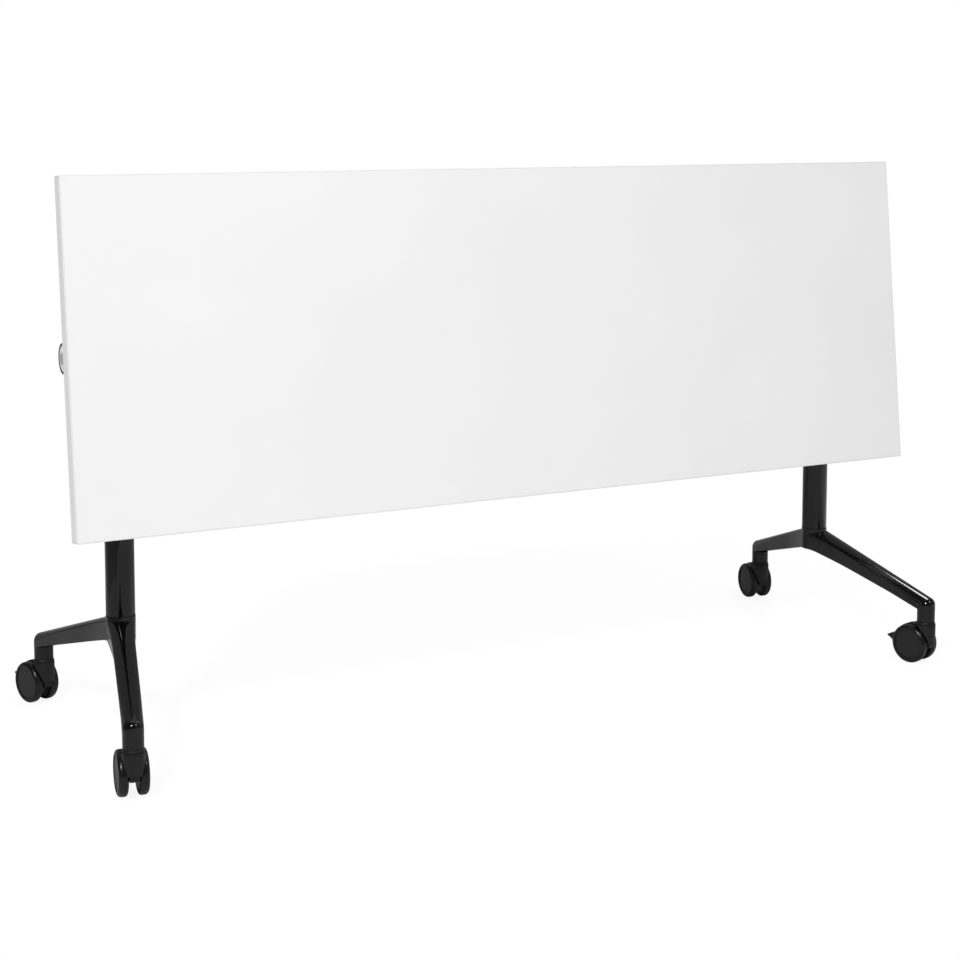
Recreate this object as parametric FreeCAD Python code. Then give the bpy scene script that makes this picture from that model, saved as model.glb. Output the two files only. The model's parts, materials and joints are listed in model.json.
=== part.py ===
import FreeCAD, Part
import math
import os

# Flip-top folding desk on castors, with its top tipped up for storing.
# Millimetres. +X runs along the desk, +Y away from the face of the tipped top, +Z up.
# Pieces of a pair are built for the right-hand end and mirrored to the left.
# Heights are measured from the floor, and +Y from the column axes, until the last section.

Vector = FreeCAD.Vector

# Clearances
SEAT_GAP = 0.02  # radial, where one piece is fixed in another
RUN_GAP = 0.05  # radial, where a bore turns on a shaft
SIDE_GAP = 0.3  # between faces that move past each other
HOLE_GAP = 0.25  # radial, where a screw passes loosely through a hole
END_ROOM = 1.0  # past a blind end

# Top
TOP_LENGTH = 1700.0
TOP_DEPTH = 600.0
TOP_THICKNESS = 30.0
EDGE_BAND = 2.0
EDGE_ROUND = 1.2

# Flip axis, and how far the tipped top leans back from upright, in degrees
PIVOT_HEIGHT = 676.0
PIVOT_FORWARD = 21.5
PIVOT_TO_FACE = 84.0
LEAN_BACK = 6.2

# Columns and the beam between their heads
COLUMN_INSET = 111.0  # column axis in from the end of the top
COLUMN_RADIUS = 25.0
COLUMN_WALL = 2.0
BEAM_RADIUS = 24.0
BEAM_WALL = 2.0

# Leg heads
HEAD_LENGTH = 68.0
HEAD_DROP = 38.0  # flip axis to the column's upper end
NECK_REAR = 14.0  # height of the neck at its rear
HEAD_SPIGOT = 60.0
BEAM_SPIGOT = 40.0

# Flip hub: the bracket barrel that turns on the shaft, its bush and its end cap
HUB_RADIUS = 26.0
HUB_LENGTH = 63.0
HUB_END_GAP = 0.5  # along the axis, between leg head and bracket
SHAFT_RADIUS = 12.5
SHAFT_GRIP = 30.0  # length held in the leg head
SHAFT_STICKOUT = 5.0  # past the bush
BUSH_WALL = 2.5
BUSH_LENGTH = 34.5
RING_THICKNESS = 2.0
RING_GROOVE = 1.5
RING_RADIUS = 17.0
CAP_RECESS = 5.0
CAP_THICKNESS = 4.0
CAP_RADIUS = 22.0
CAP_CHAMFER = 1.2

# Release button and its spring, inside the hollow shaft
BUTTON_RADIUS = 15.0
BUTTON_THICKNESS = 12.0
BUTTON_PROUD = 1.5  # past the end of the hub
BUTTON_EDGE = 1.5
BUTTON_STEM_RADIUS = 5.0
BUTTON_STEM = 30.0
SPRING_LENGTH = 29.0
SPRING_RADIUS = 4.4
SPRING_WIRE = 1.0

# Top brackets
PLATE_LENGTH = 400.0
PLATE_WIDTH = 54.0
PLATE_THICKNESS = 5.0
PLATE_CORNER = 12.0
WEB_THICKNESS = 12.0
WEB_REACH = 190.0
BRACKET_SCREW_RADIUS = 2.5
BRACKET_SCREW_DEPTH = 18.0  # into the board
BRACKET_SCREW_HEAD = 5.0
BRACKET_SCREW_HEAD_HEIGHT = 3.5
BRACKET_SCREW_NEAR = 80.0  # flip axis to the inner and outer screws
BRACKET_SCREW_FAR = 170.0
BRACKET_SCREW_ROW = 15.0  # each side of the web's middle

# Screws through the tubes
TUBE_SCREW_RADIUS = 3.0
TUBE_SCREW_LENGTH = 16.0
TUBE_SCREW_HEAD = 5.5
TUBE_SCREW_HEAD_HEIGHT = 3.0
HEAD_SCREW_HIGH = 18.0  # down from the column's upper end
HEAD_SCREW_LOW = 42.0
BEAM_SCREW_STEP = 20.0  # in from the beam's end

# Feet
STEM_REACH = 276.0  # column to castor stem, along Y
STEM_OUT = 64.5  # column to castor stem, along X
FOOT_STEP = 0.5  # foot hub proud of the column
FOOT_SPIGOT = 50.0
HUB_LIP = 7.0  # foot hub above the arms' ridge
BOSS_RADIUS = 17.0
BOSS_STEP = 0.4  # arm's end proud of its boss
BOSS_DROP = 21.5
ARM_END_HEIGHT = 23.5
ARM_OVERLAP = ARM_END_HEIGHT / 3  # of the boss into the arm above it
ARM_RISE_UNDER = 78.0  # from the stem to the column axis
ARM_RISE_TOP = 97.5
ARM_WAIST = 110.0  # column axis to where the flare towards the hub starts
ARM_WAIST_WIDTH = 38.4
ARM_DRAFT = 4.5  # how far each side slants in, from the arm's top to its underside
CROWN_ROOT_RADIUS = 40.0
CROWN_END_RADIUS = 25.0
CROWN_REACH = 80.0  # degrees of the crown's arc on each side of its ridge
ARM_END_ROUND = 22.0
ARCH_RADIUS = 90.0

# Column bolts
BOLT_RADIUS = 5.0
BOLT_HEAD_RADIUS = 8.0
BOLT_HEAD_HEIGHT = 10.0
BOLT_RECESS = 14.0
ANCHOR_THICKNESS = 16.0

# Castors
CASTOR_HEIGHT = 85.0
CASTOR_TRAIL = 25.0
WHEEL_RADIUS = 37.5
WHEEL_WIDTH = 16.5
WHEEL_SPACE = 17.2  # between the two wheels
TREAD_INNER_ROUND = 5.0
TREAD_OUTER_ROUND = 6.5
RIM_WIDTH = 1.6
COVER_RECESS = 3.0
COVER_THICKNESS = 1.8
COVER_EDGE = 0.6
NECK_RADIUS = 19.0
NECK_GROOVE = 1.0
COLLAR_HEIGHT = 4.5
COLLAR_TOP_RADIUS = 17.2
COLLAR_FOOT_RADIUS = 18.4
SHIELD_BOTTOM = 43.0
WEB_RADIUS = 39.0
WEB_BOTTOM = 33.0
WHEEL_ROOM = 2.8
AXLE_RADIUS = 4.0
AXLE_SHORT = 2.0  # axle ends inside the covers
STEM_RADIUS = 5.5
STEM_IN_CASTOR = 37.0
STEM_IN_FOOT = 33.0
# How far each castor is turned about its stem from trailing straight back, in degrees
CASTOR_TURN = {"left_front": -8.8, "left_rear": 18.4, "right_front": 16.1, "right_rear": -8.9}

# Brake pedals, in the castor's own side view: back from the stem, and up from the floor
PEDAL_PIVOT_BACK = 51.0
PEDAL_PIVOT_UP = 42.0
PEDAL_PIN_RADIUS = 2.5
PEDAL_EYE = 6.0
PEDAL_SLOT = 7.0
PEDAL_TONGUE = 6.0
PEDAL_WIDTH = 26.0
PEDAL_STAND_OFF = 3.5  # pad to wheel
PEDAL_PAD_LOW = 31.0
PEDAL_PAD_HIGH = 51.0
PEDAL_TIP_BACK = 81.0
PEDAL_TIP_UP = 43.5
PEDAL_TIP_THICKNESS = 3.0
PEDAL_NOTCH = 36.0  # axle to the web's flat rear, which leaves the pad its room

# Places worked out from the sizes above
COLUMN_X = TOP_LENGTH / 2 - COLUMN_INSET
HEAD_INNER_X = COLUMN_X - HEAD_LENGTH / 2
HEAD_OUTER_X = COLUMN_X + HEAD_LENGTH / 2
HUB_INNER_X = HEAD_OUTER_X + HUB_END_GAP
HUB_OUTER_X = HUB_INNER_X + HUB_LENGTH
BUSH_END_X = HUB_INNER_X + BUSH_LENGTH
SHAFT_END_X = BUSH_END_X + SHAFT_STICKOUT
CAP_SEAT_X = HUB_OUTER_X - CAP_RECESS
BUTTON_FACE_X = HUB_OUTER_X + BUTTON_PROUD
BUTTON_BACK_X = BUTTON_FACE_X - BUTTON_THICKNESS
STEM_END_X = BUTTON_BACK_X - BUTTON_STEM
SPRING_SEAT_X = STEM_END_X - SPRING_LENGTH
BRACKET_X = (HUB_INNER_X + HUB_OUTER_X) / 2
UNDERSIDE = PIVOT_TO_FACE - TOP_THICKNESS
FLIP_ANGLE = 90.0 - LEAN_BACK
COLUMN_BORE = COLUMN_RADIUS - COLUMN_WALL
COLUMN_TOP = PIVOT_HEIGHT - HEAD_DROP
BOSS_BOTTOM = CASTOR_HEIGHT + SIDE_GAP
ARM_LENGTH = math.hypot(STEM_REACH, STEM_OUT)
ARM_SPLAY = math.atan2(STEM_OUT, STEM_REACH)
ARM_END_RADIUS = BOSS_RADIUS + BOSS_STEP
UNDER_FALL = ARM_RISE_UNDER / ARM_LENGTH
RIDGE_FALL = ARM_RISE_TOP / ARM_LENGTH
FOOT_RADIUS = COLUMN_RADIUS + FOOT_STEP
WHEEL_INNER = WHEEL_SPACE / 2
WHEEL_OUTER = WHEEL_INNER + WHEEL_WIDTH
AXLE_END = WHEEL_OUTER - AXLE_SHORT - COVER_RECESS
CASTOR_WEB = WHEEL_INNER - SIDE_GAP
COVER_RADIUS = WHEEL_RADIUS - TREAD_OUTER_ROUND - RIM_WIDTH

X_AXIS = Vector(1, 0, 0)
Z_AXIS = Vector(0, 0, 1)
ORIGIN = Vector(0, 0, 0)


def arm_underside(along):
    """Height of a foot arm's straight underside, at a distance from the column axis."""
    return BOSS_BOTTOM + BOSS_DROP + UNDER_FALL * (ARM_LENGTH - along)


def arm_ridge(along):
    """Height of a foot arm's ridge, at a distance from the column axis."""
    return BOSS_BOTTOM + BOSS_DROP + ARM_END_HEIGHT + RIDGE_FALL * (ARM_LENGTH - along)


COLUMN_FOOT = arm_ridge(COLUMN_RADIUS) + HUB_LIP
ARM_BACK = FOOT_RADIUS * math.tan(ARM_SPLAY)
ARCH_TOP = arm_underside(0) - ARCH_RADIUS * (math.hypot(1, UNDER_FALL) - 1)


def cylinder(radius, start, end):
    """Round bar between two points."""
    along = end.sub(start)
    return Part.makeCylinder(radius, along.Length, start, along)


def pipe(outer, inner, start, end):
    """Round tube between two points."""
    return cylinder(outer, start, end).cut(cylinder(inner, start, end))


def block(low, high):
    """Box between two corners."""
    size = high.sub(low)
    return Part.makeBox(size.x, size.y, size.z, low)


def outline(start, *steps):
    """Face inside a closed outline: each step is a point, or an arc's (through, end) points."""
    edges = []
    here = start
    for step in steps:
        if isinstance(step, tuple):
            edges.append(Part.Arc(here, step[0], step[1]).toShape())
            here = step[1]
        else:
            edges.append(Part.makeLine(here, step))
            here = step
    if here.distanceToPoint(start) > 0:
        edges.append(Part.makeLine(here, start))
    return Part.Face(Part.Wire(edges))


def moved(shape, x=0.0, y=0.0, z=0.0):
    """Copy of a shape, shifted."""
    copy = shape.copy()
    copy.translate(Vector(x, y, z))
    return copy


def moved_point(point, up):
    """Point straight above another."""
    return Vector(point.x, point.y, point.z + up)


def turned(shape, degrees, axis=Z_AXIS, centre=ORIGIN):
    """Copy of a shape, turned about an axis."""
    copy = shape.copy()
    copy.rotate(centre, axis, degrees)
    return copy


def mirrored(shape):
    """Copy of a shape for the desk's other end."""
    return shape.mirror(ORIGIN, X_AXIS)


def tipped(shape):
    """Carry a piece of the flat top, drawn about the flip axis, to its tipped place."""
    return moved(turned(shape, FLIP_ANGLE, X_AXIS), y=-PIVOT_FORWARD, z=PIVOT_HEIGHT)


def on_pivot(shape):
    """Carry a piece drawn about the flip axis, which stays with the legs, to its place."""
    return moved(shape, y=-PIVOT_FORWARD, z=PIVOT_HEIGHT)


def on_axis(x):
    """Point on the flip axis, in the frame of the flat top."""
    return Vector(x, 0, 0)


def bracket_screw_places():
    """Where the screws of both brackets enter the board, in the frame of the flat top."""
    rows = (BRACKET_X - BRACKET_SCREW_ROW, BRACKET_X + BRACKET_SCREW_ROW)
    steps = (-BRACKET_SCREW_FAR, -BRACKET_SCREW_NEAR, BRACKET_SCREW_NEAR, BRACKET_SCREW_FAR)
    right = [Vector(x, y, UNDERSIDE) for x in rows for y in steps]
    return right + [Vector(-place.x, place.y, place.z) for place in right]


def bracket_screw(place):
    """Pan-head screw through the bracket plate into the board."""
    head_seat = moved_point(place, -PLATE_THICKNESS)
    head_end = moved_point(head_seat, -BRACKET_SCREW_HEAD_HEIGHT)
    tip = moved_point(place, BRACKET_SCREW_DEPTH)
    return cylinder(BRACKET_SCREW_RADIUS, head_seat, tip).fuse(
        cylinder(BRACKET_SCREW_HEAD, head_end, head_seat)
    )


def board():
    """Faced panel with the pilot holes of the bracket screws in its underside."""
    half_length = TOP_LENGTH / 2 - EDGE_BAND
    half_depth = TOP_DEPTH / 2 - EDGE_BAND
    low = Vector(-half_length, -half_depth, UNDERSIDE)
    panel = block(low, Vector(half_length, half_depth, PIVOT_TO_FACE))
    pilot = BRACKET_SCREW_RADIUS + SEAT_GAP
    holes = [
        cylinder(pilot, place, moved_point(place, BRACKET_SCREW_DEPTH + END_ROOM))
        for place in bracket_screw_places()
    ]
    return panel.cut(holes)


def edge_band(length, depth):
    """Edge strip along X, its rounded outer face at +depth on Y."""
    low = Vector(-length / 2, depth - EDGE_BAND, UNDERSIDE)
    strip = block(low, Vector(length / 2, depth, PIVOT_TO_FACE))
    outer = [edge for edge in strip.Edges if abs(edge.CenterOfMass.y - depth) < EDGE_BAND / 4]
    return strip.makeFillet(EDGE_ROUND, outer)


def bracket():
    """Casting that carries the board: barrel on the flip axis, web and screwed plate."""
    barrel = cylinder(HUB_RADIUS, on_axis(HUB_INNER_X), on_axis(HUB_OUTER_X))
    plate = block(
        Vector(BRACKET_X - PLATE_WIDTH / 2, -PLATE_LENGTH / 2, UNDERSIDE - PLATE_THICKNESS),
        Vector(BRACKET_X + PLATE_WIDTH / 2, PLATE_LENGTH / 2, UNDERSIDE),
    )
    corners = [edge for edge in plate.Edges if edge.BoundBox.ZLength > PLATE_THICKNESS / 2]
    plate = plate.makeFillet(PLATE_CORNER, corners)
    web_x = BRACKET_X - WEB_THICKNESS / 2
    web_top = UNDERSIDE - PLATE_THICKNESS / 2
    web = outline(
        Vector(web_x, -WEB_REACH, web_top),
        Vector(web_x, -WEB_REACH, UNDERSIDE - PLATE_THICKNESS),
        Vector(web_x, -HUB_RADIUS, 0),
        Vector(web_x, HUB_RADIUS, 0),
        Vector(web_x, WEB_REACH, UNDERSIDE - PLATE_THICKNESS),
        Vector(web_x, WEB_REACH, web_top),
    ).extrude(Vector(WEB_THICKNESS, 0, 0))
    casting = barrel.fuse([plate, web]).removeSplitter()
    bore = SHAFT_RADIUS + RUN_GAP + BUSH_WALL + SEAT_GAP
    cuts = [
        cylinder(bore, on_axis(HUB_INNER_X), on_axis(BUSH_END_X)),
        cylinder(RING_RADIUS + END_ROOM, on_axis(BUSH_END_X), on_axis(CAP_SEAT_X)),
        cylinder(CAP_RADIUS + SEAT_GAP, on_axis(CAP_SEAT_X), on_axis(HUB_OUTER_X)),
    ]
    hole = BRACKET_SCREW_RADIUS + HOLE_GAP
    for place in bracket_screw_places():
        if place.x > 0:
            cuts.append(cylinder(hole, moved_point(place, -PLATE_THICKNESS), place))
    return casting.cut(cuts)


def pivot_bush():
    """Plain bearing pressed into the bracket barrel."""
    inner = SHAFT_RADIUS + RUN_GAP
    return pipe(inner + BUSH_WALL, inner, on_axis(HUB_INNER_X), on_axis(BUSH_END_X))


def hub_cap():
    """Ring that closes the barrel's end around the release button."""
    face_x = CAP_SEAT_X + CAP_THICKNESS
    hole = BUTTON_RADIUS + SIDE_GAP
    ring = pipe(CAP_RADIUS, hole, on_axis(CAP_SEAT_X), on_axis(face_x))
    outer = [edge for edge in ring.Edges if abs(edge.CenterOfMass.x - face_x) < SEAT_GAP]
    return ring.makeChamfer(CAP_CHAMFER, outer)


def release_button():
    """Push button with the stem that slides in the hollow shaft."""
    pad = cylinder(BUTTON_RADIUS, on_axis(BUTTON_BACK_X), on_axis(BUTTON_FACE_X))
    rim = [edge for edge in pad.Edges if abs(edge.CenterOfMass.x - BUTTON_FACE_X) < SEAT_GAP]
    pad = pad.makeFillet(BUTTON_EDGE, rim)
    return pad.fuse(cylinder(BUTTON_STEM_RADIUS, on_axis(STEM_END_X), on_axis(BUTTON_BACK_X)))


def release_spring():
    """Return spring behind the button stem, as the sleeve that its coils fill."""
    return pipe(
        SPRING_RADIUS, SPRING_RADIUS - SPRING_WIRE, on_axis(SPRING_SEAT_X), on_axis(STEM_END_X)
    )


def pivot_shaft():
    """Hollow shaft held in the leg head, with the groove of its retaining ring."""
    start_x = HEAD_OUTER_X - SHAFT_GRIP
    groove_x = BUSH_END_X + HUB_END_GAP
    shaft = cylinder(SHAFT_RADIUS, on_axis(start_x), on_axis(SHAFT_END_X))
    groove = pipe(
        SHAFT_RADIUS + SIDE_GAP,
        SHAFT_RADIUS - RING_GROOVE,
        on_axis(groove_x),
        on_axis(groove_x + RING_THICKNESS),
    )
    bore = cylinder(BUTTON_STEM_RADIUS + RUN_GAP, on_axis(SPRING_SEAT_X), on_axis(SHAFT_END_X))
    return shaft.cut([groove, bore])


def retaining_ring():
    """Ring in the shaft's groove that keeps the bracket on."""
    groove_x = BUSH_END_X + HUB_END_GAP
    inner = SHAFT_RADIUS - RING_GROOVE + SEAT_GAP
    return pipe(RING_RADIUS, inner, on_axis(groove_x), on_axis(groove_x + RING_THICKNESS))


def tube_screw(seat, inward):
    """Button-head screw from a tube's outside, its head seated at a point."""
    tip = seat.add(Vector(inward).multiply(TUBE_SCREW_LENGTH))
    top = seat.sub(Vector(inward).multiply(TUBE_SCREW_HEAD_HEIGHT))
    head = cylinder(TUBE_SCREW_HEAD, top, seat)
    rim = [edge for edge in head.Edges if edge.CenterOfMass.distanceToPoint(top) < SEAT_GAP]
    head = head.makeFillet(TUBE_SCREW_HEAD_HEIGHT / 2, rim)
    return head.fuse(cylinder(TUBE_SCREW_RADIUS, seat, tip))


def tube_screw_hole(seat, inward):
    """Hole that such a screw fills."""
    start = seat.sub(Vector(inward).multiply(SIDE_GAP))
    tip = seat.add(Vector(inward).multiply(TUBE_SCREW_LENGTH + END_ROOM))
    return cylinder(TUBE_SCREW_RADIUS + SEAT_GAP, start, tip)


def head_screw_seats():
    """Where the right column's head screws sit, on its rear, with their direction."""
    return [
        (Vector(COLUMN_X, COLUMN_RADIUS, COLUMN_TOP - step), Vector(0, -1, 0))
        for step in (HEAD_SCREW_HIGH, HEAD_SCREW_LOW)
    ]


def beam_screw_seat():
    """Where the beam's right-hand screw sits, underneath, with its direction."""
    x = HEAD_INNER_X - BEAM_SCREW_STEP
    return Vector(x, -PIVOT_FORWARD, PIVOT_HEIGHT - BEAM_RADIUS), Vector(0, 0, 1)


def leg_head_neck():
    """Neck over the column, its top sloping from the barrel down to the column's rear."""
    wide = HEAD_LENGTH
    left = COLUMN_X - wide / 2
    high = PIVOT_HEIGHT + HUB_RADIUS
    fall = (high - COLUMN_TOP - NECK_REAR) / (PIVOT_FORWARD + COLUMN_RADIUS)
    above = outline(
        Vector(left, -PIVOT_FORWARD, high),
        Vector(left, wide, high - fall * (PIVOT_FORWARD + wide)),
        Vector(left, wide, high),
    ).extrude(Vector(wide, 0, 0))
    foot = Vector(COLUMN_X, 0, COLUMN_TOP)
    post = cylinder(COLUMN_RADIUS, foot, moved_point(foot, HEAD_DROP + HUB_RADIUS / 2))
    return post.cut(above)


def leg_head():
    """Casting on the column: spigot, neck, barrel on the flip axis and the beam's spigot."""
    foot = Vector(COLUMN_X, 0, COLUMN_TOP)
    neck = leg_head_neck()
    spigot = cylinder(COLUMN_BORE - SEAT_GAP, moved_point(foot, -HEAD_SPIGOT), foot)
    barrel = on_pivot(cylinder(HUB_RADIUS, on_axis(HEAD_INNER_X), on_axis(HEAD_OUTER_X)))
    beam_seat = BEAM_RADIUS - BEAM_WALL - SEAT_GAP
    beam_spigot = on_pivot(
        cylinder(beam_seat, on_axis(HEAD_INNER_X - BEAM_SPIGOT), on_axis(HEAD_INNER_X))
    )
    casting = neck.fuse([barrel, spigot, beam_spigot]).removeSplitter()
    shaft_hole = on_pivot(
        cylinder(
            SHAFT_RADIUS + SEAT_GAP, on_axis(HEAD_OUTER_X - SHAFT_GRIP), on_axis(HEAD_OUTER_X)
        )
    )
    holes = [shaft_hole, tube_screw_hole(*beam_screw_seat())]
    holes += [tube_screw_hole(*seat) for seat in head_screw_seats()]
    return casting.cut(holes)


def cross_beam():
    """Round tube between the leg heads, on the flip axis."""
    tube = on_pivot(
        pipe(BEAM_RADIUS, BEAM_RADIUS - BEAM_WALL, on_axis(-HEAD_INNER_X), on_axis(HEAD_INNER_X))
    )
    hole = tube_screw_hole(*beam_screw_seat())
    return tube.cut([hole, mirrored(hole)])


def column():
    """Round tube from the foot to the leg head."""
    tube = pipe(
        COLUMN_RADIUS,
        COLUMN_BORE,
        Vector(COLUMN_X, 0, COLUMN_FOOT),
        Vector(COLUMN_X, 0, COLUMN_TOP),
    )
    return tube.cut([tube_screw_hole(*seat) for seat in head_screw_seats()])


def column_anchor():
    """Threaded plug fixed inside the column, just above the foot's spigot."""
    low = Vector(COLUMN_X, 0, COLUMN_FOOT + FOOT_SPIGOT + SIDE_GAP)
    return pipe(
        COLUMN_BORE - SEAT_GAP,
        BOLT_RADIUS + SEAT_GAP,
        low,
        moved_point(low, ANCHOR_THICKNESS),
    )


def column_bolt():
    """Bolt from under the foot up into the column's anchor."""
    head_top = Vector(COLUMN_X, 0, ARCH_TOP + BOLT_RECESS)
    head = cylinder(BOLT_HEAD_RADIUS, moved_point(head_top, -BOLT_HEAD_HEIGHT), head_top)
    end = Vector(COLUMN_X, 0, COLUMN_FOOT + FOOT_SPIGOT + ANCHOR_THICKNESS)
    return head.fuse(cylinder(BOLT_RADIUS, head_top, end))


def arm_outline(height, inset):
    """Waisted outline of an arm from above, at the heights of one of its sloping lines."""
    root = FOOT_RADIUS - inset
    waist = ARM_WAIST_WIDTH / 2 - inset
    flare = (root - waist) / ARM_WAIST
    back = 2 * ARM_BACK
    end = ARM_LENGTH + 2 * ARM_END_RADIUS
    end_half = waist + (ARM_END_RADIUS - waist) * (end - ARM_WAIST) / (ARM_LENGTH - ARM_WAIST)

    def at(along, half):
        return Vector(along, half, height(along))

    half_flare = waist + flare * ARM_WAIST / 4
    back_half = root + 2 * flare * back
    return outline(
        at(-back, -back_half),
        at(0, -root),
        (at(ARM_WAIST / 2, -half_flare), at(ARM_WAIST, -waist)),
        at(end, -end_half),
        at(end, end_half),
        at(ARM_WAIST, waist),
        (at(ARM_WAIST / 2, half_flare), at(0, root)),
        at(-back, back_half),
    ).OuterWire


def foot_arm():
    """One arm along +X from the column axis: slanting sides, crowned top, rounded end, boss."""
    top = arm_outline(arm_ridge, 0)
    bottom = arm_outline(arm_underside, ARM_DRAFT)
    bottom.translate(Vector(0, 0, -ARM_OVERLAP))
    sides = Part.makeLoft([bottom, top], True, True)
    boss_low = Vector(ARM_LENGTH, 0, BOSS_BOTTOM)
    round_end = cylinder(ARM_END_RADIUS, boss_low, Vector(ARM_LENGTH, 0, COLUMN_FOOT))
    shank = block(
        Vector(-2 * ARM_BACK, -2 * FOOT_RADIUS, BOSS_BOTTOM),
        Vector(ARM_LENGTH, 2 * FOOT_RADIUS, COLUMN_FOOT),
    )
    arm = sides.common(shank.fuse(round_end))
    arm = arm.common(arm_side_view(ARM_BACK)).common(arm_crown(ARM_BACK))
    boss_top = Vector(ARM_LENGTH, 0, arm_underside(ARM_LENGTH) + ARM_OVERLAP)
    return arm.fuse(cylinder(BOSS_RADIUS, boss_low, boss_top))


def arm_side_view(back):
    """Prism of an arm's side view: arched root, straight underside and rounded end."""
    wide = 2 * FOOT_RADIUS
    fall = math.atan(UNDER_FALL)
    ridge = math.atan(RIDGE_FALL)
    end_x = ARM_LENGTH + ARM_END_RADIUS + SIDE_GAP

    def arch(angle):
        rise = ARCH_RADIUS * (1 - math.cos(angle))
        return Vector(ARCH_RADIUS * math.sin(angle), -wide, ARCH_TOP - rise)

    round_x = end_x - ARM_END_ROUND
    round_z = arm_ridge(round_x) + SIDE_GAP - ARM_END_ROUND / math.cos(ridge)

    def end_round(angle):
        reach = ARM_END_ROUND * math.sin(angle)
        return Vector(round_x + reach, -wide, round_z + ARM_END_ROUND * math.cos(angle))

    top = COLUMN_FOOT - FOOT_STEP - SIDE_GAP
    top_x = ARM_LENGTH - (top - SIDE_GAP - arm_ridge(ARM_LENGTH)) / RIDGE_FALL
    upright = math.pi / 2
    return outline(
        Vector(-back, -wide, ARCH_TOP),
        Vector(0, -wide, ARCH_TOP),
        (arch(fall / 2), arch(fall)),
        Vector(end_x, -wide, arm_underside(end_x)),
        end_round(upright),
        (end_round((upright + ridge) / 2), end_round(ridge)),
        Vector(top_x, -wide, top),
        Vector(-back, -wide, top),
    ).extrude(Vector(0, 2 * wide, 0))


def arm_crown(back):
    """Solid under an arm's crowned top, which runs down along its ridge and gets rounder."""

    def section(along, radius):
        reach = math.radians(CROWN_REACH)
        half = radius * math.sin(reach)
        drop = radius * (1 - math.cos(reach))
        top = arm_ridge(along)
        return outline(
            Vector(along, -half, top - drop),
            (Vector(along, 0, top), Vector(along, half, top - drop)),
            Vector(along, half, 0),
            Vector(along, -half, 0),
        ).OuterWire

    end = ARM_LENGTH + ARM_END_RADIUS + SIDE_GAP
    sections = [section(-back, CROWN_ROOT_RADIUS), section(end, CROWN_END_RADIUS)]
    return Part.makeLoft(sections, True, True)


def foot():
    """V-shaped casting: hub with the column's spigot, two arms and their castor sockets."""
    hub = cylinder(FOOT_RADIUS, Vector(0, 0, ARCH_TOP), Vector(0, 0, COLUMN_FOOT))
    lip = [edge for edge in hub.Edges if abs(edge.CenterOfMass.z - COLUMN_FOOT) < SEAT_GAP]
    hub = hub.makeChamfer(FOOT_STEP, lip)
    arm = foot_arm()
    square = 90.0 - math.degrees(ARM_SPLAY)
    arms = [turned(arm, square), turned(arm, -square)]
    spigot = cylinder(
        COLUMN_BORE - SEAT_GAP,
        Vector(0, 0, COLUMN_FOOT),
        Vector(0, 0, COLUMN_FOOT + FOOT_SPIGOT),
    )
    casting = hub.fuse(arms).fuse(spigot).removeSplitter()
    casting = moved(casting, x=COLUMN_X)
    bolt_top = Vector(COLUMN_X, 0, COLUMN_FOOT + FOOT_SPIGOT)
    recess_top = Vector(COLUMN_X, 0, ARCH_TOP + BOLT_RECESS)
    below = moved_point(recess_top, -2 * BOLT_RECESS)
    cuts = [
        cylinder(BOLT_RADIUS + HOLE_GAP, below, bolt_top),
        cylinder(BOLT_HEAD_RADIUS + HOLE_GAP, below, recess_top),
    ]
    for y in (-STEM_REACH, STEM_REACH):
        low = Vector(COLUMN_X + STEM_OUT, y, BOSS_BOTTOM)
        high = moved_point(low, STEM_IN_FOOT + END_ROOM)
        cuts.append(cylinder(STEM_RADIUS + SEAT_GAP, low, high))
    return casting.cut(cuts)


def castor_stem():
    """Steel stem held in the foot's boss, on which the castor swivels."""
    return cylinder(
        STEM_RADIUS,
        Vector(0, 0, CASTOR_HEIGHT - STEM_IN_CASTOR),
        Vector(0, 0, BOSS_BOTTOM + STEM_IN_FOOT),
    )


def axle_point(x):
    """Point on a castor's axle, in the castor's own frame."""
    return Vector(x, CASTOR_TRAIL, WHEEL_RADIUS)


def pedal_pivot(x):
    """Point on a brake pedal's pivot, in the castor's own frame."""
    return Vector(x, PEDAL_PIVOT_BACK, PEDAL_PIVOT_UP)


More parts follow.
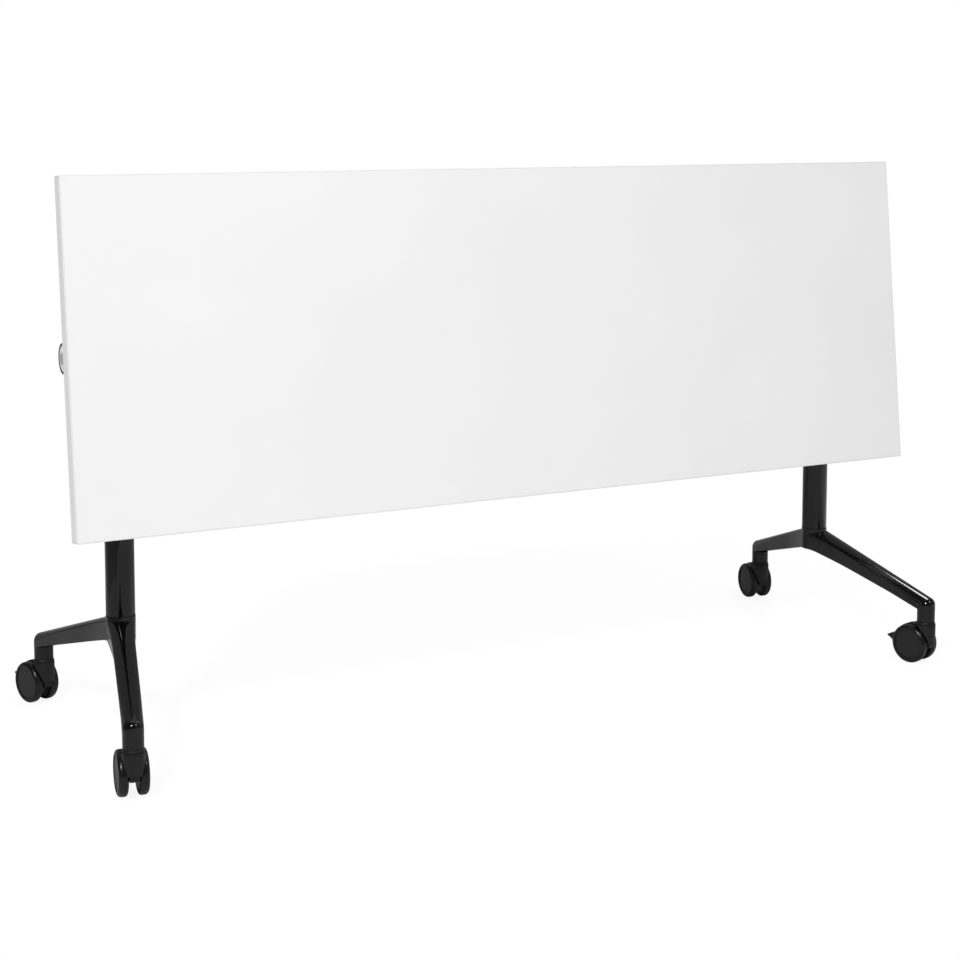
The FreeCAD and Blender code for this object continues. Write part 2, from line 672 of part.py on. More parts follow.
def castor_body():
    """Moulded swivel body: collar, neck that narrows like a shield, web between the wheels."""
    neck_top = CASTOR_HEIGHT - COLLAR_HEIGHT
    groove_radius = COLLAR_TOP_RADIUS - NECK_GROOVE

    def at(radius, up):
        return Vector(radius, 0, up)

    neck = outline(
        at(0, SHIELD_BOTTOM),
        at(NECK_RADIUS, SHIELD_BOTTOM),
        at(NECK_RADIUS, neck_top - NECK_GROOVE),
        at(groove_radius, neck_top - NECK_GROOVE),
        at(groove_radius, neck_top),
        at(COLLAR_FOOT_RADIUS, neck_top),
        at(COLLAR_TOP_RADIUS, CASTOR_HEIGHT),
        at(0, CASTOR_HEIGHT),
    ).revolve(ORIGIN, Z_AXIS, 360)
    web = cylinder(WEB_RADIUS, axle_point(-CASTOR_WEB), axle_point(CASTOR_WEB))
    wide = 2 * WHEEL_OUTER
    below = block(Vector(-wide, -wide, -wide), Vector(wide, 2 * wide, WEB_BOTTOM))
    room = WHEEL_RADIUS + WHEEL_ROOM
    stem_end = Vector(0, 0, CASTOR_HEIGHT - STEM_IN_CASTOR - END_ROOM)
    slot_start = PEDAL_PIVOT_BACK - PEDAL_EYE - END_ROOM
    slot = block(
        Vector(-PEDAL_SLOT / 2, slot_start, 0),
        Vector(PEDAL_SLOT / 2, CASTOR_TRAIL + 2 * WEB_RADIUS, CASTOR_HEIGHT),
    )
    notch = block(
        Vector(-wide, CASTOR_TRAIL + PEDAL_NOTCH, 0), Vector(wide, 2 * wide, CASTOR_HEIGHT)
    )
    pin_hole = PEDAL_PIN_RADIUS + RUN_GAP
    body = neck.fuse(web).removeSplitter()
    return body.cut(
        [
            below,
            cylinder(room, axle_point(CASTOR_WEB), axle_point(wide)),
            cylinder(room, axle_point(-wide), axle_point(-CASTOR_WEB)),
            cylinder(STEM_RADIUS + RUN_GAP, stem_end, Vector(0, 0, CASTOR_HEIGHT)),
            cylinder(AXLE_RADIUS + SEAT_GAP, axle_point(-wide), axle_point(wide)),
            slot,
            notch,
            cylinder(pin_hole, pedal_pivot(-CASTOR_WEB), pedal_pivot(CASTOR_WEB)),
        ]
    )


def castor_axle():
    """Axle pin through the web, with a wheel on each end."""
    return cylinder(AXLE_RADIUS, axle_point(-AXLE_END), axle_point(AXLE_END))


def castor_wheel():
    """Right-hand wheel: bored disc with a rounded tread and a recess inside its rim."""

    def at(x, radius):
        return axle_point(x).add(Vector(0, 0, radius))

    def corner(centre_x, centre_radius, radius, sign):
        diagonal = radius * math.sqrt(0.5)
        return at(centre_x + sign * diagonal, centre_radius + diagonal)

    bore = AXLE_RADIUS + RUN_GAP
    floor = WHEEL_OUTER - COVER_RECESS
    inner_x = WHEEL_INNER + TREAD_INNER_ROUND
    inner_r = WHEEL_RADIUS - TREAD_INNER_ROUND
    outer_x = WHEEL_OUTER - TREAD_OUTER_ROUND
    outer_r = WHEEL_RADIUS - TREAD_OUTER_ROUND
    section = outline(
        at(WHEEL_INNER, bore),
        at(WHEEL_INNER, inner_r),
        (corner(inner_x, inner_r, TREAD_INNER_ROUND, -1), at(inner_x, WHEEL_RADIUS)),
        at(outer_x, WHEEL_RADIUS),
        (corner(outer_x, outer_r, TREAD_OUTER_ROUND, 1), at(WHEEL_OUTER, outer_r)),
        at(WHEEL_OUTER, COVER_RADIUS),
        at(floor, COVER_RADIUS),
        at(floor, bore),
    )
    return section.revolve(axle_point(0), X_AXIS, 360)


def wheel_cover():
    """Disc that closes the right-hand wheel's face, set back inside the rim."""
    floor = WHEEL_OUTER - COVER_RECESS
    face = floor + COVER_THICKNESS
    disc = cylinder(COVER_RADIUS - SEAT_GAP, axle_point(floor), axle_point(face))
    rim = [edge for edge in disc.Edges if abs(edge.CenterOfMass.x - face) < SEAT_GAP]
    return disc.makeFillet(COVER_EDGE, rim)


def brake_pedal():
    """Pedal: eye with its pins between the web's cheeks, tongue, and wedge-shaped pad."""
    eye = cylinder(PEDAL_EYE, pedal_pivot(-PEDAL_TONGUE / 2), pedal_pivot(PEDAL_TONGUE / 2))
    pin_end = CASTOR_WEB - SIDE_GAP
    pins = cylinder(PEDAL_PIN_RADIUS, pedal_pivot(-pin_end), pedal_pivot(pin_end))
    pad_radius = WHEEL_RADIUS + PEDAL_STAND_OFF

    def pad_face(up):
        reach = math.sqrt(pad_radius**2 - (up - WHEEL_RADIUS) ** 2)
        return Vector(-PEDAL_WIDTH / 2, CASTOR_TRAIL + reach, up)

    tip = Vector(-PEDAL_WIDTH / 2, PEDAL_TIP_BACK - PEDAL_TIP_THICKNESS / 2, PEDAL_TIP_UP)
    half_tip = Vector(0, 0, PEDAL_TIP_THICKNESS / 2)
    nose = tip.add(Vector(0, PEDAL_TIP_THICKNESS / 2, 0))
    pad = outline(
        pad_face(PEDAL_PAD_LOW),
        (pad_face((PEDAL_PAD_LOW + PEDAL_PAD_HIGH) / 2), pad_face(PEDAL_PAD_HIGH)),
        tip.add(half_tip),
        (nose, tip.sub(half_tip)),
    ).extrude(Vector(PEDAL_WIDTH, 0, 0))
    tongue = block(
        Vector(-PEDAL_TONGUE / 2, PEDAL_PIVOT_BACK, PEDAL_PIVOT_UP - PEDAL_EYE),
        Vector(PEDAL_TONGUE / 2, pad_face(PEDAL_PIVOT_UP).y, PEDAL_PIVOT_UP + PEDAL_EYE),
    )
    return pad.fuse([tongue, eye, pins]).removeSplitter()


def castor_places():
    """Each castor's name with its stem's place and its turn."""
    stem_x = COLUMN_X + STEM_OUT
    for corner, turn in CASTOR_TURN.items():
        side, end = corner.split("_")
        x = stem_x if side == "right" else -stem_x
        y = -STEM_REACH if end == "front" else STEM_REACH
        yield corner, x, y, turn


def top_pieces():
    """Pieces that flip with the top."""
    half_depth = TOP_DEPTH / 2
    half_length = TOP_LENGTH / 2
    long_band = edge_band(TOP_LENGTH, half_depth)
    short_band = edge_band(TOP_DEPTH - 2 * EDGE_BAND, half_length)
    screws = [bracket_screw(place) for place in bracket_screw_places()]
    flat = {
        "tabletop_board": board(),
        "edge_band_back": long_band,
        "edge_band_front": turned(long_band, 180),
        "edge_band_left": turned(short_band, 90),
        "edge_band_right": turned(short_band, -90),
        "bracket_screws": Part.Compound(screws),
        "pivot_bush_right": pivot_bush(),
        "pivot_bush_left": mirrored(pivot_bush()),
        "top_bracket_right": bracket(),
        "top_bracket_left": mirrored(bracket()),
        "hub_cap_right": hub_cap(),
        "hub_cap_left": mirrored(hub_cap()),
    }
    return {name: tipped(shape) for name, shape in flat.items()}


def leg_pieces():
    """Pieces that stand still: legs, beam, pivot shafts and what fixes them."""
    head_screws = [tube_screw(*seat) for seat in head_screw_seats()]
    beam_screw = tube_screw(*beam_screw_seat())
    rings = on_pivot(retaining_ring())
    pairs = {
        "foot": foot(),
        "column": column(),
        "leg_head": leg_head(),
        "pivot_shaft": on_pivot(pivot_shaft()),
        "release_spring": on_pivot(release_spring()),
        "release_button": on_pivot(release_button()),
    }
    pieces = {f"{name}_right": shape for name, shape in pairs.items()}
    pieces.update({f"{name}_left": mirrored(shape) for name, shape in pairs.items()})
    alike = {
        "column_bolts": [column_bolt()],
        "column_anchors": [column_anchor()],
        "retaining_rings": [rings],
        "head_screws": head_screws,
        "beam_screws": [beam_screw],
    }
    for name, right in alike.items():
        pieces[name] = Part.Compound(right + [mirrored(shape) for shape in right])
    pieces["cross_beam"] = cross_beam()
    return pieces


def castor_pieces():
    """Four castors, each turned about its stem, and the stems as one group."""
    half_turn_wheel = turned(castor_wheel(), 180, Z_AXIS, axle_point(0))
    half_turn_cover = turned(wheel_cover(), 180, Z_AXIS, axle_point(0))
    pattern = {
        "castor_body": castor_body(),
        "castor_axle": castor_axle(),
        "wheel_right_of": castor_wheel(),
        "wheel_left_of": half_turn_wheel,
        "cover_right_of": wheel_cover(),
        "cover_left_of": half_turn_cover,
        "brake_pedal": brake_pedal(),
    }
    pieces = {}
    stems = []
    for corner, x, y, turn in castor_places():
        for name, shape in pattern.items():
            pieces[f"{name}_{corner}"] = moved(turned(shape, turn), x, y)
        stems.append(moved(castor_stem(), x, y))
    pieces["castor_stems"] = Part.Compound(stems)
    return pieces


# All pieces, with the origin on the floor under the middle of the whole desk
PIECES = {**top_pieces(), **leg_pieces(), **castor_pieces()}
REACH = Part.Compound(list(PIECES.values())).optimalBoundingBox(False, False)
MIDDLE_X = REACH.Center.x
MIDDLE_Y = REACH.Center.y

os.makedirs("parts", exist_ok=True)
for piece_name, piece_shape in PIECES.items():
    moved(piece_shape, -MIDDLE_X, -MIDDLE_Y).exportStep(f"parts/{piece_name}.step")
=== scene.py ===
"""Looks of a flip-top folding desk on castors, and the studio that it stands in."""

import json
import math

import bmesh
import bpy
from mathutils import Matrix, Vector


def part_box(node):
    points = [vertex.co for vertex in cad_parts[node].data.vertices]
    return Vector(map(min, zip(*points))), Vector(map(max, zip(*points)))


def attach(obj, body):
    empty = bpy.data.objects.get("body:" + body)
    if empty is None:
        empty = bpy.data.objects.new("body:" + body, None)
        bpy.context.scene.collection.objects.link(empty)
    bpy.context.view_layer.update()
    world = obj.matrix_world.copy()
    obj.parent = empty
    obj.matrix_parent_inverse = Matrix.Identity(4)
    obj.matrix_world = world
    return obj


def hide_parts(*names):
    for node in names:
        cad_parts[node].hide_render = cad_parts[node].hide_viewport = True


bl_info = {
    "name": "Flip-Top Folding Desk",
    "version": (1, 0, 0),
    "blender": (4, 5, 0),
    "location": "3D View > Sidebar > Desk",
    "description": "Finishes of a flip-top folding desk on castors, with its studio",
    "category": "Object",
}

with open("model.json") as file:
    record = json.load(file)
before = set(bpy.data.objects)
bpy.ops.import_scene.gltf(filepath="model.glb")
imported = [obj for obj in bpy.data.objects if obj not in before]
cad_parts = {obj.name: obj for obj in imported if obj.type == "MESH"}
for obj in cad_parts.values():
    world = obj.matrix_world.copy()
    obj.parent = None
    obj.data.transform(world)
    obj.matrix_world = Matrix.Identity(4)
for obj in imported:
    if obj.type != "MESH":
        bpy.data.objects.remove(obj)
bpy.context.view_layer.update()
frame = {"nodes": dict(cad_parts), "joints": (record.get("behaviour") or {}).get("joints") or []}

MM = 0.001
UP = Vector((0, 0, 1))
SIDES = ("left", "right")
CORNERS = ("left_front", "left_rear", "right_front", "right_rear")

# Sockets of a Mix node go by number, because its colours and its numbers share their names
MIX_SHARE = 0
NUMBER_A = 2
NUMBER_B = 3
COLOUR_A = 6
COLOUR_B = 7
NUMBER_OUT = 0
COLOUR_OUT = 2

# Each softbox's name, place, aim, width, height and power in watts
LAMPS = (
    ("lamp_left", (-3.2, -3.0, 3.7), (0, 0, 0.6), 0.8, 0.8, 143),
    ("lamp_right", (1.4, -3.2, 3.9), (0, 0, 0.6), 0.7, 0.7, 30),
    ("lamp_back", (1.95, 0.54, 3.17), (0.8, -0.3, 0.13), 0.2, 1.4, 14),
)


def linear(code):
    """Linear colour with alpha from an sRGB hex code."""
    levels = [int(code[i : i + 2], 16) / 255 for i in (1, 3, 5)]
    return (*[v / 12.92 if v <= 0.04045 else ((v + 0.055) / 1.055) ** 2.4 for v in levels], 1.0)


def colour(name, description, code):
    """Colour property with its default as an sRGB hex code."""
    return bpy.props.FloatVectorProperty(
        name=name,
        description=description,
        subtype="COLOR",
        size=4,
        min=0,
        max=1,
        default=linear(code),
    )


def length(name, description, default):
    """Length property in metres."""
    return bpy.props.FloatProperty(
        name=name, description=description, unit="LENGTH", precision=5, default=default
    )


def number(name, description, default):
    """Plain number property."""
    return bpy.props.FloatProperty(name=name, description=description, default=default)


def angle(name, description, degrees):
    """Angle property with its default in degrees."""
    return bpy.props.FloatProperty(
        name=name, description=description, subtype="ANGLE", default=math.radians(degrees)
    )


class DeskColours(bpy.types.PropertyGroup):
    """Colours of the desk's finishes."""

    board: colour("Board", "Melamine faces of the top", "#f6f6f6")
    edging: colour("Edging", "Plastic edging around the top", "#f3f3f3")
    coat: colour("Coat", "Gloss powder coat of castings and tubes", "#070707")
    nylon: colour("Nylon", "Castor bodies and brake pedals", "#101011")
    tread: colour("Tread", "Castor wheels", "#090909")
    disc: colour("Disc", "Discs in the wheels' faces", "#161617")
    ring: colour("Ring", "Rings around the release buttons", "#f4f4f4")
    button: colour("Button", "Pads of the release buttons", "#aeb0b2")
    steel: colour("Steel", "Zinc-plated steel", "#b9bbbd")
    screw: colour("Screw", "Blackened screws", "#1a1a1b")
    bush: colour("Bush", "Bearing bushes", "#d8d4c6")


class DeskSizes(bpy.types.PropertyGroup):
    """Sizes of softened edges and of the finishes' patterns."""

    casting_edge: length("Casting edge", "Rounding on the edges of castings", 1.2 * MM)
    moulding_edge: length("Moulding edge", "Rounding on the edges of mouldings", 0.5 * MM)
    edging_edge: length("Edging edge", "Rounding on the edges of the edging", 0.8 * MM)
    metal_edge: length("Metal edge", "Broken edges of turned and cut steel", 0.3 * MM)
    # Real pebbles are about 0.5 mm wide, drawn coarser so that they show
    board_grain: length("Board grain", "Width of the melamine's pebbles", 2.5 * MM)
    coat_ripple: length("Coat ripple", "Width of the powder coat's ripples", 5.0 * MM)
    # The real grains of moulds and plating are about 0.2 mm wide, drawn coarser so that they show
    mould_grain: length("Mould grain", "Width of the mouldings' grain", 1.2 * MM)
    steel_grain: length("Steel grain", "Width of the grain on plated and blackened steel", 1.2 * MM)
    tread_ripple: length("Tread ripple", "Width of the ripples on the wheels", 4.8 * MM)
    drift: length("Drift", "Width of the slow changes of gloss and shade", 90.0 * MM)
    board_drift: length("Board drift", "Width of those changes on the top", 300.0 * MM)
    steel_drift: length("Steel drift", "Width of those changes on steel", 20.0 * MM)


class HubSizes(bpy.types.PropertyGroup):
    """Sizes of what shows on the flip hubs' outer ends."""

    sunk: length("Sunk", "Ring below the end of the barrel", 0.6 * MM)
    gap: length("Gap", "Slit between ring and button", 0.4 * MM)
    pad: length("Pad", "Radius of the button's pad", 10.5 * MM)
    pad_proud: length("Pad proud", "Pad past the button's rim", 0.5 * MM)
    edge: length("Edge", "Rounding of ring, button and pad", 0.6 * MM)


class PedalSizes(bpy.types.PropertyGroup):
    """Sizes of the brake pedals; back from a castor's stem, up from the floor."""

    axle_back: length("Axle back", "Stem to the axle", 25 * MM)
    axle_up: length("Axle up", "Floor to the axle", 37.5 * MM)
    root: length("Root", "Axle to the pad's hollow inner face", 41 * MM)
    root_low: length("Root low", "Floor to the lower edge of that face", 31 * MM)
    root_high: length("Root high", "Floor to the upper edge of that face", 51 * MM)
    tip_back: length("Tip back", "Stem to the pad's tip", 81 * MM)
    tip_low: length("Tip low", "Floor to the tip's lower edge", 42.1 * MM)
    tip_high: length("Tip high", "Floor to the tip's upper edge", 44.9 * MM)
    hollow_low: number("Hollow low", "Power of the underside's curve, 1 is straight", 1.6)
    hollow_high: number("Hollow high", "Power of the upper side's curve, 1 is straight", 1.35)
    squareness: number("Squareness", "Power of the section's corners, 1 is an ellipse", 0.3)
    half: length("Half", "Half of the pad's width", 13 * MM)
    corner: length("Corner", "Rounding of the pad's outer corners", 3 * MM)
    tongue: length("Tongue", "Half of the tongue's thickness", 3 * MM)
    eye: length("Eye", "Radius of the tongue's eye", 6 * MM)
    pin: length("Pin", "Radius of the pivot pins", 2.5 * MM)
    pin_reach: length("Pin reach", "Middle of the castor to a pin's end", 8.0 * MM)


class FootSizes(bpy.types.PropertyGroup):
    """Sizes of the V-shaped feet; along an arm from the column's axis to the castor's stem."""

    reach: length("Reach", "Column to castor stem, along the desk's depth", 276.0 * MM)
    out: length("Out", "Column to castor stem, along the desk's length", 64.5 * MM)
    hub: length("Hub", "Radius of the hub under the column", 25.5 * MM)
    lip: length("Lip", "Chamfer on the hub's upper edge and the bosses' lower ones", 0.6 * MM)
    seam: length("Seam", "Height of the groove between the hub and the column", 1.5 * MM)
    seam_depth: length("Seam depth", "Depth of that groove", 2 * MM)
    end: length("End", "Radius of an arm's round end", 17.4 * MM)
    boss: length("Boss", "Radius of the castor's boss", 17.3 * MM)
    waist: length("Waist", "Column to where an arm stops flaring", 110.0 * MM)
    waist_width: length("Waist width", "Width of an arm where it stops flaring", 38.4 * MM)
    draft: length("Draft", "How far each side slants in", 4.5 * MM)
    ridge: length("Ridge", "Height of an arm's ridge at the stem", 134.0 * MM)
    ridge_rise: length("Ridge rise", "From the stem to the column's axis", 93.8 * MM)
    under: length("Underside", "Height of an arm's underside at the stem", 106.8 * MM)
    under_rise: length("Underside rise", "From the stem to the column's axis", 78.0 * MM)
    arch: length("Arch", "Radius under the hub, between the arms", 90.0 * MM)
    crown_root: length("Crown at the root", "Radius across an arm's top at the hub", 40.0 * MM)
    crown_end: length("Crown at the end", "Radius across an arm's top at the stem", 22.0 * MM)
    shoulder: length("Shoulder", "Rounding between top and sides", 3.0 * MM)
    end_round: length("End rounding", "Rounding over an arm's end", 7.5 * MM)
    round_start: length("Rounding start", "Where the shoulder starts to grow, from the stem", 90.0 * MM)
    lower_edge: length("Lower edge", "Rounding along the underside", 2.0 * MM)


class DeskStudio(bpy.types.PropertyGroup):
    """Camera, floor and surroundings."""

    place: bpy.props.FloatVectorProperty(
        name="Camera",
        description="Where the camera stands",
        subtype="TRANSLATION",
        default=(-1.6493, -3.1260, 1.0902),
    )
    lens: number("Lens", "Focal length in millimetres", 70.54)
    yaw: angle("Yaw", "Turn of the camera towards +X", 27.428)
    pitch: angle("Pitch", "Tilt of the camera below the horizon", 5.245)
    shift: number("Shift", "Rise of the lens, as a part of the frame", -0.207)
    floor: length("Floor", "Radius of the round pale floor", 1.3)
    paint: colour("Floor paint", "Floor's own colour", "#f4f4f4")
    mirrored: colour("Floor in gloss", "Floor's colour where it shows in reflections", "#bcbcbc")
    lift: number("Lift", "Share of white glow in the floor that the camera sees", 0.85)
    glow: number("Glow", "Strength of that glow", 1.06)
    fill: number("Fill", "Light from all around on matt surfaces", 0.5)
    horizon: number("Horizon", "Brightness of the studio's walls in reflections", 0.25)
    walls_end: number("Walls' end", "Rise of a ray, -1 is straight down, where walls end", -0.6)
    dark_end: number("Dark end", "Share of the brightness at the camera's end of the studio", 0.4)
    dark_towards: bpy.props.FloatVectorProperty(
        name="Dark towards",
        description="Direction of the studio's dark end",
        subtype="DIRECTION",
        default=(-0.906, -0.423, 0.0),
    )
    dark_from: number("Dark from", "Lean of a ray that way, 1 is fully, where it is darkest", 0.35)


def add_node(tree, kind, inputs=(), **settings):
    """Node with its settings; inputs give each socket a value or another node's output."""
    made = tree.nodes.new(kind)
    for name, value in settings.items():
        setattr(made, name, value)
    for name, value in dict(inputs).items():
        if isinstance(value, bpy.types.NodeSocket):
            tree.links.new(value, made.inputs[name])
        else:
            made.inputs[name].default_value = value
    return made


def finish(name, tint, grain, depth, roughness, drift, metallic=0.0):
    """Material with a raised grain, whose gloss and shade change slowly over the surface."""
    gloss_change = 0.15
    shade_change = 0.07
    material = bpy.data.materials.new(name)
    material.use_nodes = True
    tree = material.node_tree
    place = add_node(tree, "ShaderNodeTexCoord").outputs["Object"]
    fine = add_node(tree, "ShaderNodeTexNoise", {"Vector": place, "Scale": 1 / grain})
    slow = add_node(
        tree, "ShaderNodeTexNoise", {"Vector": place, "Scale": 1 / drift, "Detail": 3.0}
    )
    bump = add_node(tree, "ShaderNodeBump", {"Height": fine.outputs["Fac"], "Distance": depth})
    gloss = add_node(
        tree,
        "ShaderNodeMapRange",
        {
            "Value": slow.outputs["Fac"],
            "To Min": (1 - gloss_change) * roughness,
            "To Max": (1 + gloss_change) * roughness,
        },
    )
    deep = [(1 - shade_change) * level for level in tint[:3]] + [1.0]
    shade = add_node(
        tree,
        "ShaderNodeMix",
        {MIX_SHARE: slow.outputs["Fac"], COLOUR_A: deep, COLOUR_B: tint},
        data_type="RGBA",
    )
    # The shader keeps its own IOR of 1.5, which is typical of plastics and coats
    shader = tree.nodes["Principled BSDF"]
    tree.links.new(shade.outputs[COLOUR_OUT], shader.inputs["Base Color"])
    tree.links.new(gloss.outputs["Result"], shader.inputs["Roughness"])
    tree.links.new(bump.outputs["Normal"], shader.inputs["Normal"])
    shader.inputs["Metallic"].default_value = metallic
    return material


def dress(names, material, edge=0.0):
    """Give packed nodes a finish, and round their edges where a width is given."""
    for name in names:
        piece = frame["nodes"][name]
        piece.data.materials.clear()
        piece.data.materials.append(material)
        if edge:
            soften(piece, edge)


def soften(piece, width):
    """Round a packed node's sharp edges, once its triangles are joined to whole faces."""
    weld = piece.modifiers.new("Joined seams", "WELD")
    weld.merge_threshold = 0.001 * MM
    flat = piece.modifiers.new("Whole faces", "DECIMATE")
    flat.decimate_type = "DISSOLVE"
    flat.angle_limit = math.radians(0.5)
    bevel = piece.modifiers.new("Rounded edges", "BEVEL")
    bevel.width = width
    bevel.segments = 3
    bevel.limit_method = "ANGLE"
    bevel.angle_limit = math.radians(25)
    bevel.harden_normals = True


def both(*names):
    """Left and right nodes of pairs."""
    return [f"{name}_{side}" for name in names for side in SIDES]


def each_castor(*names):
    """Nodes of all four castors."""
    return [f"{name}_{corner}" for name in names for corner in CORNERS]


def new_piece(name, shape, material, body):
    """Object made of a bmesh, shaded smooth up to its sharp edges, that moves with a body."""
    smooth_up_to = math.radians(38)
    mesh = bpy.data.meshes.new(name)
    bmesh.ops.recalc_face_normals(shape, faces=shape.faces)
    shape.to_mesh(mesh)
    shape.free()
    mesh.shade_smooth()
    mesh.set_sharp_from_angle(angle=smooth_up_to)
    mesh.materials.append(material)
    piece = bpy.data.objects.new(name, mesh)
    bpy.context.scene.collection.objects.link(piece)
    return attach(piece, body)


def loft(shape, rings, closed=False):
    """Skin through rings of points, closed in itself or with a flat face on each end."""
    loops = [[shape.verts.new(point) for point in ring] for ring in rings]
    if closed:
        loops.append(loops[0])
    else:
        shape.faces.new(loops[0])
        shape.faces.new(loops[-1])
    for here, there in zip(loops, loops[1:]):
        for i in range(len(here)):
            shape.faces.new((here[i - 1], here[i], there[i], there[i - 1]))


def lathe(shape, centre, axis, profile, closed=False):
    """Skin of a profile of (radius, place along the axis), turned about the axis."""
    steps = 72
    across = axis.orthogonal().normalized()
    beside = axis.cross(across)
    rings = []
    for radius, along in profile:
        ring = []
        for step in range(steps):
            turn = 2 * math.pi * step / steps
            spoke = math.cos(turn) * across + math.sin(turn) * beside
            ring.append(centre + along * axis + radius * spoke)
        rings.append(ring)
    loft(shape, rings, closed)


def round_edge(radius, face, rounding):
    """Profile points over a rounded edge, from a turned piece's side to its face."""
    steps = 4
    turns = [math.pi / 2 * step / steps for step in range(steps + 1)]
    return [
        (radius - rounding * (1 - math.cos(turn)), face - rounding * (1 - math.sin(turn)))
        for turn in turns
    ]


def smooth_step(value):
    """Ease from 0 to 1."""
    value = min(max(value, 0.0), 1.0)
    return value * value * (3 - 2 * value)


def arm_span(foot):
    """Length of an arm, from the column's axis to the castor's stem."""
    return math.hypot(foot.reach, foot.out)


def arm_underside(foot, along):
    """Height of an arm's underside: straight, with an arch under the hub."""
    fall = foot.under_rise / arm_span(foot)
    if along < foot.arch * math.sin(math.atan(fall)):
        arch_top = foot.under + foot.under_rise - foot.arch * (math.hypot(1, fall) - 1)
        return arch_top - foot.arch + math.sqrt(foot.arch**2 - along**2)
    return foot.under + foot.under_rise - fall * along


def arm_half_width(foot, along):
    """Half of an arm's width: flared at the hub, tapered to the stem and round past it."""
    span = arm_span(foot)
    waist = foot.waist_width / 2
    if along > span:
        return math.sqrt(max(foot.end**2 - (along - span) ** 2, 0.0))
    if along > foot.waist:
        return waist + (foot.end - waist) * (along - foot.waist) / (span - foot.waist)
    flare = 1 - along / foot.waist
    return waist + (foot.hub - waist) * flare * flare


def arm_top(foot, along):
    """Points over half of an arm's top, from its ridge over the shoulder to its side."""
    span = arm_span(foot)
    to_stem = span - along
    past_stem = max(-to_stem, 0.0)
    half = arm_half_width(foot, along)
    ridge = foot.ridge + foot.ridge_rise * to_stem / span
    lowest = arm_underside(foot, along) + foot.lower_edge
    crown = foot.crown_root + (foot.crown_end - foot.crown_root) * min(along / span, 1.0)
    growth = smooth_step(1 - to_stem / foot.round_start)
    rounding = foot.shoulder + (foot.end_round - foot.shoulder) * growth
    flat = max(half - rounding, 0.0)
    steps = 9
    places = [flat * step / steps for step in range(steps)]
    for step in range(steps + 1):
        places.append(flat + (half - flat) * math.sin(math.pi / 2 * step / steps))
    points = []
    for across in places:
        inside = half - across
        if past_stem:
            inside = foot.end - math.hypot(past_stem, across)
        depth = max(rounding - inside, 0.0)
        drop = rounding - math.sqrt(max(rounding**2 - depth**2, 0.0))
        drop += crown - math.sqrt(crown**2 - across**2)
        points.append((across, max(ridge - drop, lowest)))
    return points


def arm_section(foot, along):
    """Half of an arm's section, from the middle of its top round to the middle of its underside."""
    to_stem = arm_span(foot) - along
    slant = foot.draft * smooth_step(along / foot.waist) * smooth_step(to_stem / foot.round_start)
    low_half = arm_half_width(foot, along) - slant
    under = arm_underside(foot, along)
    edge = min(foot.lower_edge, low_half / 2)
    points = arm_top(foot, along)
    steps = 3
    for step in range(steps + 1):
        turn = math.pi / 2 * step / steps
        across = low_half - edge * (1 - math.cos(turn))
        points.append((across, under + edge * (1 - math.sin(turn))))
    points.append((0.0, under))
    return points


def arm_rings(foot, x, y, towards_x, towards_y):
    """Rings of points along an arm, from inside the hub to the tip of its round end."""
    span = arm_span(foot)
    shank_steps = 110
    end_steps = 14
    # The last ring lies just short of the tip, where it would shrink to a line
    last_turn = math.radians(88)
    stations = [span * step / shank_steps for step in range(shank_steps)]
    for step in range(end_steps + 1):
        stations.append(span + foot.end * math.sin(last_turn * step / end_steps))
    dir_x = towards_x * foot.out / span
    dir_y = towards_y * foot.reach / span
    rings = []
    for along in stations:
        half = arm_section(foot, along)
        whole = half + [(-across, up) for across, up in reversed(half[1:-1])]
        rings.append(
            [
                (x + along * dir_x - across * dir_y, y + along * dir_y + across * dir_x, up)
                for across, up in whole
            ]
        )
    return rings


def build_foot(foot, side, material):
    """Foot as one casting's skin: hub, two arms and their bosses."""
    low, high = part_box(f"column_{side}")
    x = (low.x + high.x) / 2
    y = (low.y + high.y) / 2
    towards_x = 1 if side == "right" else -1
    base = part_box(f"foot_{side}")[0].z
    arch_top = arm_underside(foot, 0.0)
    hub_top = low.z - foot.seam
    hub_profile = [
        (foot.hub - foot.lower_edge, arch_top),
        (foot.hub, arch_top + foot.lower_edge),
        (foot.hub, hub_top - foot.lip),
        (foot.hub - foot.lip, hub_top),
        (foot.hub - foot.seam_depth, hub_top),
        (foot.hub - foot.seam_depth, low.z),
    ]
    boss_profile = [
        (foot.boss - foot.lip, base),
        (foot.boss, base + foot.lip),
        (foot.boss, foot.under + foot.lower_edge),
    ]
    shape = bmesh.new()
    lathe(shape, Vector((x, y, 0)), UP, hub_profile)
    for towards_y in (-1, 1):
        loft(shape, arm_rings(foot, x, y, towards_x, towards_y))
        stem = Vector((x + towards_x * foot.out, y + towards_y * foot.reach, 0))
        lathe(shape, stem, UP, boss_profile)
    piece = new_piece(f"cast_foot_{side}", shape, material, "frame")
    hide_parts(f"foot_{side}")


def hub_place(side):
    """Middle of a flip hub's end cap, the direction out of it and the cap's thickness."""
    low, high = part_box(f"hub_cap_{side}")
    out = Vector((1 if side == "right" else -1, 0, 0))
    return (low + high) / 2, out, high.x - low.x


def reach_past(node, side, centre):
    """How far a node reaches past a point, towards its own end of the desk."""
    low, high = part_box(node)
    return (high.x if side == "right" else -low.x) - abs(centre.x)


def turned_radius(node):
    """Radius of a round node whose axis lies along the desk."""
    low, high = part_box(node)
    return (high.z - low.z) / 2


